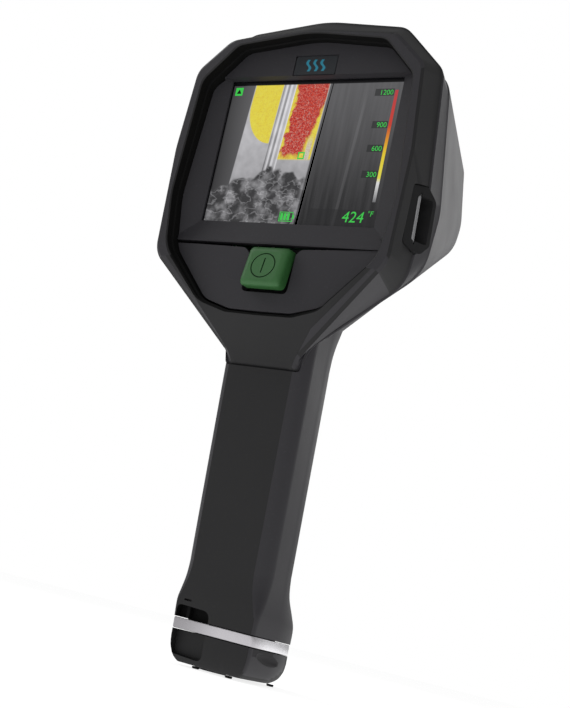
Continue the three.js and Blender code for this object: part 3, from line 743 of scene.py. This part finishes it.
def between_keys(keys, parts=4):
    """Key rows with smooth rows between them (a Catmull-Rom curve through the keys)."""
    rows = []
    last = len(keys) - 1
    for i in range(last):
        a, b, c, d = (Vector(keys[at]) for at in (max(0, i - 1), i, i + 1, min(i + 2, last)))
        for k in range(parts):
            t = k / parts
            square = (2 * a - 5 * b + 4 * c - d) * t * t
            cube = (3 * b - a - 3 * c + d) * t ** 3
            rows.append(0.5 * (2 * b + (c - a) * t + square + cube))
    return rows + [Vector(keys[-1])]


def grip_ring(row):
    z, follow, *swell = row
    return [(p.x, p.y, z - follow * SLOPE * p.y) for p in grip_section(z, *swell)]


def bay(d):
    return grip_section(50, -3.4 - d, -3.2 - d, -4.3 - d)


def foot_section(d, back=None):
    return grip_section(18, -0.4 - d * 0.8, 11.6 - d * 2.1, 0.4 - (d if back is None else back), 1)


def on_base(points, z):
    return [(p.x, p.y, z - p.y * SLOPE) for p in points]


def recess_tool():
    """Pocket for the wrist strap, behind the silver band at the left of the grip's back."""
    outline = rounded([(-18, 5.4, 2.5), (-2.4, 4.6, 3.4), (-2, 24.6, 3.6), (-18, 25.2, 2.4)], 8)
    return plate_y("recess", outline, -34, RECESS_Y)


def in_recess(point, _normal):
    """Whether a face belongs to the strap recess."""
    return -18.3 < point.x < -1.9 and -20.5 < point.y < RECESS_Y + 0.1 and 4 < point.z < 25.4


def screw_places():
    for sx, sz in ((-1, 1), (1, 1), (-1, -1), (1, -1)):
        yield sx * 0.735 * SCREW_RADIUS, LENS_Z + sz * 0.675 * SCREW_RADIUS


def screw_hole(x, z):
    low, step, high = HEAD_Y - 12, HEAD_Y - GAP, 110
    profile = [(0, low), (1.3, low), (1.3, step), (2.1, step), (2.1, high), (0, high)]
    return turned("hole", profile, along_y(x, z), 24)


def front_shell():
    """Front of the head, neck and grip in one moulding, open for the battery, the lens and the screen."""
    piece = loft("front_shell", [
        at_seam(mirrored(grown(SEAM, -0.45)), GAP), at_seam(mirrored(grown(SEAM, 0.1)), 0.9),
        at_y(mirrored(grown(BELLY, -0.25)), BELLY_Y - 1.2), at_y(mirrored(BELLY), BELLY_Y),
        at_y(mirrored(NOSE), NOSE_Y - 0.5), at_y(mirrored(grown(NOSE, -0.4)), NOSE_Y)])
    grip = loft("grip", [grip_ring(row) for row in between_keys(GRIP_RINGS)])
    collar = loft("collar", [on_base(bay(-1.2), z) for z in (BAND_LOW + GAP, BAND_HIGH + 1.5)])
    join(piece, grip, collar)
    inner = FRONT_Y - WALL
    along = (inner - BELLY_Y) / (NOSE_Y - BELLY_Y)
    narrow = [tuple(a + (b - a) * along for a, b in zip(p, q)) for p, q in zip(BELLY, NOSE)]
    cavity = loft("cavity", [
        at_y(mirrored(grown(SEAM, -WALL)), SEAM_Y - 4), at_y(mirrored(grown(BELLY, -WALL)), BELLY_Y),
        at_y(mirrored(grown(narrow, -WALL)), inner)])
    behind = mirrored(grown(SEAM, GAP))
    cut(piece,
        cavity,
        *(socket_block(side, GAP, 10) for side in (-1, 1)),
        loft("behind", [at_y(behind, -60), at_seam(behind, GAP)]),
        turned("lens", disc(24.2, FRONT_Y - 10, FRONT_Y + 3), along_y(0, LENS_Z), 70),
        turned("bore", disc(NOSE_BORE, FRONT_Y + 1, 95), along_y(0, LENS_Z), 72),
        plate("wires", rectangle(-10, -12, 10, 10, 4), BAY_TOP - 1, 150, GRIP),
        plate("bay", bay(0), -20, BAY_TOP, GRIP),
        recess_tool(),
        plate_y("slit", rectangle(-15.2, 26.9, -11.6, 27.7, 0.35), -30, -19.4),
        *(screw_hole(x, z) for x, z in screw_places()))
    rib = block("rib", -13.6, -12.2, -19.8, -17.2, BAND_HIGH + 3, 25.2)
    join(piece, rib)
    dress(piece, "housing", [sides, shell, recess_shade], ["main_housing"], 0.3, 22)
    # Painted light: the whole moulding takes the lighter copy, and only faces turned straight back keep the
    # plastic's own darker colour.
    paint(piece, 1, lambda p, n: n.y < -0.96 and p.z < SEAM_Z + 1)
    # Painted shade: the inside of the strap recess is near-black.
    paint(piece, 2, in_recess)
    return piece


def strap_socket(side, label):
    opening = rectangle(SOCKET_Y - 3, SOCKET_Z - 9, SOCKET_Y + 5.8, SOCKET_Z + 9, 1.5)
    hollow = plate("hollow", opening, 54.6, 72,
                   GRIP @ Matrix(((0, 0, side, 0), (1, 0, 0, 0), (0, 1, 0, 0), (0, 0, 0, 1))))
    pin_at = GRIP @ Matrix.Translation((side * 57, SOCKET_Y - 1, SOCKET_Z))
    piece = cut(socket_block(side, 0), hollow, turned("way", disc(1.3, -10.3, 10.3), pin_at, 20))
    piece.name = f"strap_socket_{label}_frame"
    dress(piece, "housing", rubber, [f"strap_socket_{label}"], 0.55, 30)
    profile = [(0, -10), (0.8, -10), (1, -9.8), (1, 9.8), (0.8, 10), (0, 10)]
    pin = turned(f"strap_pin_{label}_bar", profile, pin_at, 32)
    dress(pin, "housing", steel, [f"strap_pin_{label}"], 0)


rear_shell()
front_shell()
for socket_side, socket_label in ((-1, "left"), (1, "right")):
    strap_socket(socket_side, socket_label)


# ---------------------------------------------------------------- nose and lens
def nose_bumper():
    rings = [at_y(mirrored(grown(NOSE, d)), y) for d, y in (
        (-1.7, NOSE_Y + GAP), (-1.3, NOSE_Y + 0.7), (-1.5, NOSE_Y + 1.9), (-2.6, NOSE_Y + 3.3),
        (-4, NOSE_Y + 4.7), (-5.2, BUMPER_Y - 0.6), (-6.6, BUMPER_Y))]
    piece = loft("nose_bumper", rings)
    flared = NOSE_BORE + 1.4
    bore = turned("bore", [(0, 50), (NOSE_BORE, 50), (NOSE_BORE, BUMPER_Y - 1.2), (flared, BUMPER_Y + 1),
                           (flared, 99), (0, 99)], along_y(0, LENS_Z), 72)
    cut(piece, bore, *(screw_hole(x, z) for x, z in screw_places()))
    dress(piece, "housing", rubber, ["front_bumper"], 0.3, 30)


def lens_parts():
    lens = along_y(0, LENS_Z)
    low, high = FRONT_Y + 6, BUMPER_Y - 1.5
    wall = [(21, low), (25.2, low), (25.2, high), (24.4, high)]
    ridges = 9
    for k in range(ridges):
        y = high - (k + 1) * (high - FRONT_Y - 9) / ridges
        r = 24.2 - (k + 1) * 3 / ridges
        wall += [(r + 0.55, y + 0.9), (r, y)]
    hood = turned("ridged_lens_hood", [*wall, (21, low)], lens, 80)
    dress(hood, "housing", hood_black, ["lens_hood"], 0)
    retainer = turned("window_retainer_ring", hoop(19.6, 25.2, FRONT_Y + 4, FRONT_Y + 5.7), lens, 80)
    dress(retainer, "housing", hood_black, ["window_retainer"], 0.25)
    profile = [(0, 1.2), (20.3, 1.2), (20.6, 1.5), (20.6, 3.4), (20.3, 3.7), (0, 3.7)]
    window = turned("germanium_window", profile, lens @ Matrix.Translation((0, 0, FRONT_Y)), 80)
    dress(window, "housing", infrared, ["lens_window"], 0)
    for i, (x, z) in enumerate(screw_places(), 1):
        screw = turned(f"nose_screw_{i}_turned", [
            (0, HEAD_Y - 12), (1, HEAD_Y - 12), (1, HEAD_Y), (1.8, HEAD_Y), (1.8, HEAD_Y + 1.6),
            (1.5, HEAD_Y + 2), (0, HEAD_Y + 2)], along_y(x, z), 32)
        key = turned("key", disc(0.9, HEAD_Y + 0.8, HEAD_Y + 5), along_y(x, z), 6)
        cut(screw, key)
        dress(screw, "housing", steel, [f"nose_screw_{i}"], 0.08, 40)


infrared = infrared_glass("coated infrared glass")
nose_bumper()
lens_parts()


# ---------------------------------------------------------------- screen, bezel and button
def screen_outline(d):
    return [Vector((p.x, p.y - SCREEN_AT.z)) for p in mirrored(grown(POCKET, d))]


def sloped(corners, low, high, spread):
    """Hollow with sloping sides: its lower outline, and how far each side spreads out at the upper height."""
    (x0, v0), (x1, v1) = corners
    left, bottom, right, top = spread
    rows = [[(x0, v0, low), (x1, v0, low), (x1, v1, low), (x0, v1, low)],
            [(x0 - left, v0 - bottom, high), (x1 + right, v0 - bottom, high),
             (x1 + right, v1 + top, high), (x0 - left, v1 + top, high)]]
    return loft("slope", rows, SCREEN)


def display_bezel():
    """Frame round the screen, with mitred slopes at its sides and foot and a recess for the badge."""
    piece = plate("display_bezel", screen_outline(-GAP), 0.3, 3.6, SCREEN)
    below = block("below", -70, 70, -90, SPLIT_V + GAP / 2, -20, 30, SCREEN)
    opening = block("opening", -41.6, 41.6, -31.6, 32.6, -5, 10, SCREEN)
    slope = sloped(((-41.6, -31.6), (41.6, 32.6)), 1.2, 4.0, (12.5, 10.6, 12.5, 0.8))
    recess = block("badge_recess", -10.3, 10.3, 33.2, 42.2, 2.9, 10, SCREEN)
    slot = rounded([(45.3, -35.2, 0.2), (47.3, -37.4, 0.2), (46.9, -37.8, 0.2), (44.9, -35.6, 0.2)], 2)
    notch = plate("notch", slot, 2.4, 10, SCREEN)
    cut(piece, below, opening, slope, recess, notch)
    dress(piece, "housing", panel, ["display_frame"], 0.28, 12)


def button_panel():
    """Lower panel: rises gently towards the rim, parted from the bezel by a groove that narrows outwards."""
    outline = screen_outline(-GAP)
    rings = [[(p.x, p.y, 0.3) for p in outline],
             [(p.x, p.y, 3.2 + max(0, (SPLIT_V - p.y) * 0.08)) for p in outline]]
    piece = loft("lower_panel", rings, SCREEN)
    top = SPLIT_V - GAP / 2
    edge = [(-70, top - 0.7, 0.1), (-14, top - 1.7, 3), (-9, top - 6, 0.5), (9, top - 6, 0.5),
            (13, top - 1.5, 3), (46, top - 0.05, 0.1), (70, top, 0.1), (70, 60, 0.1), (-70, 60, 0.1)]
    groove = plate("groove", rounded(edge, 4), -20, 30, SCREEN)
    well = plate("well", button_square(1.9, 2.4), -5, 20, SCREEN)
    cut(piece, groove, well)
    dress(piece, "housing", panel, ["button_panel"], 0.35, 22)


def button_square(d, radius=2.0):
    h = BUTTON_SIZE / 2 + d
    return rectangle(-h - 0.8, BUTTON_V - h, h + 0.8, BUTTON_V + h, radius)


def power_button():
    rings = []
    for d, w in ((0.5, 3.2), (0.5, 6.9), (0.4, 7.7), (0.05, 8.5), (-0.55, 9.15), (-1.3, 9.5), (-2.1, 9.6)):
        square = button_square(d, 2.2 - d * 0.2)
        rings.append([(p.x, p.y, w - (p.y - BUTTON_V) * BUTTON_TILT) for p in square])
    piece = loft("power_button_cap", rings, SCREEN)
    face = SCREEN @ Matrix.Translation((0, BUTTON_V, 9.6)) @ Matrix.Rotation(-math.atan(BUTTON_TILT), 4, "X")
    ring = turned("ring", hoop(5.15, 5.6, -0.35, 3), face, 72)
    bar = plate("bar", rectangle(-0.24, -3.4, 0.24, 3.4, 0.2), -0.35, 3, face)
    cut(piece, ring, bar)
    greens = [power_green("power button green"), sunk_green("sunk symbol")]
    dress(piece, "power_button", greens, ["power_button"], 0.12, 40)
    back = face.inverted()
    for polygon in piece.data.polygons:
        spot = back @ polygon.center
        ringed = 5.1 < Vector(spot[:2]).length < 5.65
        barred = abs(spot.x) < 0.26 and abs(spot.y) < 3.45
        if -0.37 < spot.z < -0.02 and (ringed or barred):
            polygon.material_index = 1


def text_mesh(text, size, x, v, slant=0.0):
    """Flat figures as points and faces on the screen's face, right aligned at x."""
    curve = bpy.data.curves.new("figures", "FONT")
    curve.body = text
    curve.size = size
    curve.shear = slant
    curve.align_x = "RIGHT"
    holder = bpy.data.objects.new("figures", curve)
    bpy.context.scene.collection.objects.link(holder)
    graph = bpy.context.evaluated_depsgraph_get()
    mesh = bpy.data.meshes.new_from_object(holder.evaluated_get(graph))
    points = [(p.co.x + x, p.co.y + v, 0.03) for p in mesh.vertices]
    faces = [tuple(f.vertices) for f in mesh.polygons]
    bpy.data.objects.remove(holder)
    return points, faces


def readout():
    """Green figures and marks over the picture, and the scale bar beside it."""
    points, faces, kinds = [], [], []

    def add(new_points, new_faces, kind):
        start = len(points)
        points.extend(new_points)
        faces.extend(tuple(i + start for i in face) for face in new_faces)
        kinds.extend([kind] * len(new_faces))

    def patch(x0, v0, x1, v1, kind=0, lean=0.0, w=0.03):
        add([(x0, v0, w), (x1, v0, w), (x1 + lean, v1, w), (x0 + lean, v1, w)], [(0, 1, 2, 3)], kind)

    for label, v in SCALE_MARKS:
        add(*text_mesh(label, 3.1, 37.2, v), 0)
    add(*text_mesh("424", 6.6, 35.4, -29.4, 0.12), 0)
    add(*text_mesh("°F", 3.1, 39.4, -26.6, 0.12), 0)
    patch(37.9, SCALE_LOW, 39.3, SCALE_HIGH, 1)
    x, v = -3.2, -29.6
    for k in range(3):
        patch(x + k * 1.6, v, x + k * 1.6 + 1.2, v + 3)
    for box in ((x - 0.6, v - 0.6, x + 6, v - 0.3), (x - 0.6, v + 3.3, x + 6, v + 3.6),
                (x - 0.6, v - 0.6, x - 0.3, v + 3.6), (x + 5.7, v - 0.6, x + 6, v + 3.6),
                (x + 6, v + 0.7, x + 6.6, v + 2.3)):
        patch(*box)
    patch(-40, 26.3, -36.2, 30)
    add([(-39.3, 27.2, 0.05), (-36.9, 27.2, 0.05), (-38.1, 29.3, 0.05)], [(0, 1, 2)], 2)
    s, c, v = 1.6, 0.3, -1.2
    for box in ((c - s, v - s, c + s, v - s + 0.6), (c - s, v + s - 0.6, c + s, v + s),
                (c - s, v - s, c - s + 0.6, v + s), (c + s - 0.6, v - s, c + s, v + s)):
        patch(*box)
    mesh = bpy.data.meshes.new("screen_readout")
    mesh.from_pydata([SCREEN @ Vector(p) for p in points], [], faces)
    piece = bpy.data.objects.new("screen_readout", mesh)
    bpy.context.scene.collection.objects.link(piece)
    for material in (lit_green("lit green"), scale_bar("lit scale"), rubber):
        mesh.materials.append(material)
    for polygon, kind in zip(mesh.polygons, kinds):
        polygon.material_index = kind
    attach(piece, "housing")


display_bezel()
button_panel()
power_button()
readout()


# ---------------------------------------------------------------- foot of the grip
def strap_band():
    top = BAND_HIGH - 0.1
    rows = [(0.3, BAND_LOW), (0, BAND_LOW + 0.3), (0, BAND_HIGH - 0.4), (0.3, top), (1.5, top),
            (1.5, BAND_LOW)]
    rings = [on_base(foot_section(d), z) for d, z in rows]
    piece = loft("silver_band", rings, ends="joined")
    dress(piece, "housing", band_silver, ["strap_band"], 0)


def cap():
    rows = [(5.6, 0.0), (4.9, 0.15), (3.9, 0.75), (2.8, 1.6), (1.8, 2.8), (1.1, 4.2), (0.5, 5.8), (0.2, 7.4),
            (0, 9.4), (0, BAND_LOW - GAP)]
    piece = loft("battery_cap_shell", [on_base(foot_section(d, d * 0.35), z) for d, z in rows])
    join(piece, plate("plug", bay(1.6), 8, 16.7, GRIP))
    well = turned("well", disc(LOCK_RADIUS + 0.4, -3, 4.3), LOCK_PLACE, 64)
    dish = (Matrix.Translation((20.4, -5.4, 9.9)) @ Matrix.Rotation(math.radians(-13.4), 4, "X")
            @ Matrix.Diagonal((2.6, 11.5, 2.7, 1)))
    arc = [(math.cos(a), math.sin(a)) for a in (math.pi * (k / 16 - 0.5) for k in range(17))]
    scallop = turned("scallop", arc, GRIP @ dish, 48)
    cut(piece, recess_tool(), well, scallop)
    dress(piece, "battery_pack", [shell, sides, dish_shade], ["battery_cap"], 0.3, 30)
    # Painted light: faces on the right side of the cap get the lighter copy of the plastic.
    paint(piece, 1, lambda p, n: n.x > 0.6 and p.x > 17)
    # Painted shade: the finger dish's hollow is darker.
    to_dish = dish.inverted()
    paint(piece, 2, lambda p, n: p.x > 17 and (to_dish @ p).length < 1.03)


def lock_and_bail():
    profile = [(0, 0.2), (8.9, 0.2), (9.4, 0.5), (LOCK_RADIUS, 1), (LOCK_RADIUS, 4), (0, 4)]
    knob = turned("lock_knob_turned", profile, LOCK, 72)
    cut(knob, plate("groove", rectangle(-2.4, -8.2, 2.4, 8.2, 1.2), -5, 2.2, LOCK))
    dress(knob, "lock", panel, ["lock_knob"], 0.25, 30)
    outer = rounded([(0.9, -7.4, 0.8), (0.9, 7.4, 0.8), (-8, 7.4, 5.4), (-12.6, 0, 5), (-8, -7.4, 5.4)], 8)
    inner = rounded([(-1.4, -5.2, 0.8), (-1.4, 5.2, 0.8), (-7.4, 5.2, 4), (-10.2, 0, 4), (-7.4, -5.2, 4)], 8)
    bow = cut(plate("lock_bail_bow", outer, -0.9, -0.3, LOCK), plate("gap", inner, -5, 5, LOCK))
    join(bow, plate("bar", rectangle(-0.9, -7.4, 0.9, 7.4, 0.3), -0.8, 1.4, LOCK))
    dress(bow, "bail", dark_steel, ["lock_bail"], 0.2, 30)


def feet():
    top = FOOT_HEIGHT - GAP
    profile = [(0, 0), (1.2, 0), (1.45, 0.15), (1.5, 0.5), (1.5, top), (0, top)]
    for i, (x, y) in enumerate(((-8, FOOT_Y), (8, FOOT_Y), (-9.5, 17), (9.5, 17)), 1):
        foot = turned(f"rubber_foot_{i}", profile, BASE @ Matrix.Translation((x, y, -FOOT_HEIGHT)), 32)
        dress(foot, "battery_pack", rubber, [f"foot_{i}"], 0)


strap_band()
cap()
lock_and_bail()
feet()


# ---------------------------------------------------------------- carried-over nodes
CARRIED = {
    "screen_glass": readout_picture("lit picture"),
    "badge_teal": badge("badge label"),
    "rubber": rubber,
    "shell": shell,
    "panel": panel,
    "steel": steel,
    "aluminium": aluminium,
    "contact_gold": gold,
    "germanium": infrared,
    "circuit_board": solder_board("green circuit board"),
    "cell_wrap": cell_wrap("cell wrap"),
}
slots = {row["node"]: row["material_slot"] for row in frame["record"]["subparts"]}
for name, node in frame["nodes"].items():
    if node.hide_render:
        continue
    node.data.materials.clear()
    node.data.materials.append(CARRIED[slots[name]])
    soften(node, 0.12 if name not in ("display_window", "badge_plate") else 0.08, 30)

# ---------------------------------------------------------------- stage, light and camera
WORLD_LIGHT = 0.34
FLOOR_HALF = 6.0
CAMERA_AT = Vector((258.1, -425.4, 76.1))
CAMERA_LENS = 60.4
LOW, HIGH = CAD_BOX
MIDDLE = (LOW + HIGH) / 2


def pale_floor():
    look = Look("pale floor", roughness=0.9, specular_ior_level=0.1)
    cloud = look.noise(3, 2)
    look.set(base_color=look.mix(cloud, (0.5, 0.5, 0.5, 1), (0.53, 0.53, 0.53, 1)),
             emission_color=(1, 1, 1, 1), emission_strength=0.8)
    mesh = bpy.data.meshes.new("floor")
    corners = [(x * FLOOR_HALF, y * FLOOR_HALF, LOW.z) for x, y in ((-1, -1), (1, -1), (1, 1), (-1, 1))]
    mesh.from_pydata(corners, [], [(0, 1, 2, 3)])
    floor = bpy.data.objects.new("floor", mesh)
    mesh.materials.append(look.material)
    bpy.context.scene.collection.objects.link(floor)


def soft_light(name, azimuth, elevation, distance, size, power):
    """Square soft box aimed at the object's middle. Azimuth 0 shines along +y and 90 along -x."""
    lamp = bpy.data.lights.new(name, "AREA")
    lamp.size = size
    lamp.energy = power
    a, e = math.radians(azimuth), math.radians(elevation)
    back = Vector((math.sin(a) * math.cos(e), -math.cos(a) * math.cos(e), math.sin(e)))
    holder = bpy.data.objects.new(name, lamp)
    holder.location = MIDDLE + back * distance
    holder.rotation_euler = back.to_track_quat("Z", "Y").to_euler()
    bpy.context.scene.collection.objects.link(holder)


def studio():
    world = bpy.data.worlds.new("studio")
    world.use_nodes = True
    tree = world.node_tree
    sky = tree.nodes["Background"]
    sky.inputs["Color"].default_value = (1, 1, 1, 1)
    sky.inputs["Strength"].default_value = WORLD_LIGHT
    backdrop = tree.nodes.new("ShaderNodeBackground")
    either = tree.nodes.new("ShaderNodeMixShader")
    ray = tree.nodes.new("ShaderNodeLightPath")
    tree.links.new(ray.outputs["Is Camera Ray"], either.inputs[0])
    tree.links.new(sky.outputs[0], either.inputs[1])
    tree.links.new(backdrop.outputs[0], either.inputs[2])
    tree.links.new(either.outputs[0], tree.nodes["World Output"].inputs["Surface"])
    backdrop.inputs["Color"].default_value = (1, 1, 1, 1)
    bpy.context.scene.world = world
    soft_light("key", 168, 24, 1.1, 0.7, 1.9)
    soft_light("rim", -70, 38, 1.0, 0.5, 2.4)
    soft_light("fill", 20, 30, 1.2, 1.0, 1.0)
    bpy.context.scene.view_settings.view_transform = "Standard"


def viewpoint():
    """Camera low behind the right shoulder, looking up at the screen and rolled with the hand."""
    yaw, pitch, roll = math.radians(31.45), math.radians(-6.59), math.radians(10.37)
    data = bpy.data.cameras.new("camera")
    data.lens = CAMERA_LENS
    holder = bpy.data.objects.new("camera", data)
    turn = Matrix.Rotation(LEAN, 4, "X") @ Matrix.Rotation(yaw, 4, "Z")
    turn = turn @ Matrix.Rotation(math.pi / 2 - pitch, 4, "X") @ Matrix.Rotation(roll, 4, "Z")
    holder.matrix_world = Matrix.Translation(GRIP @ CAMERA_AT) @ turn
    bpy.context.scene.collection.objects.link(holder)
    bpy.context.scene.camera = holder


pale_floor()
studio()
viewpoint()
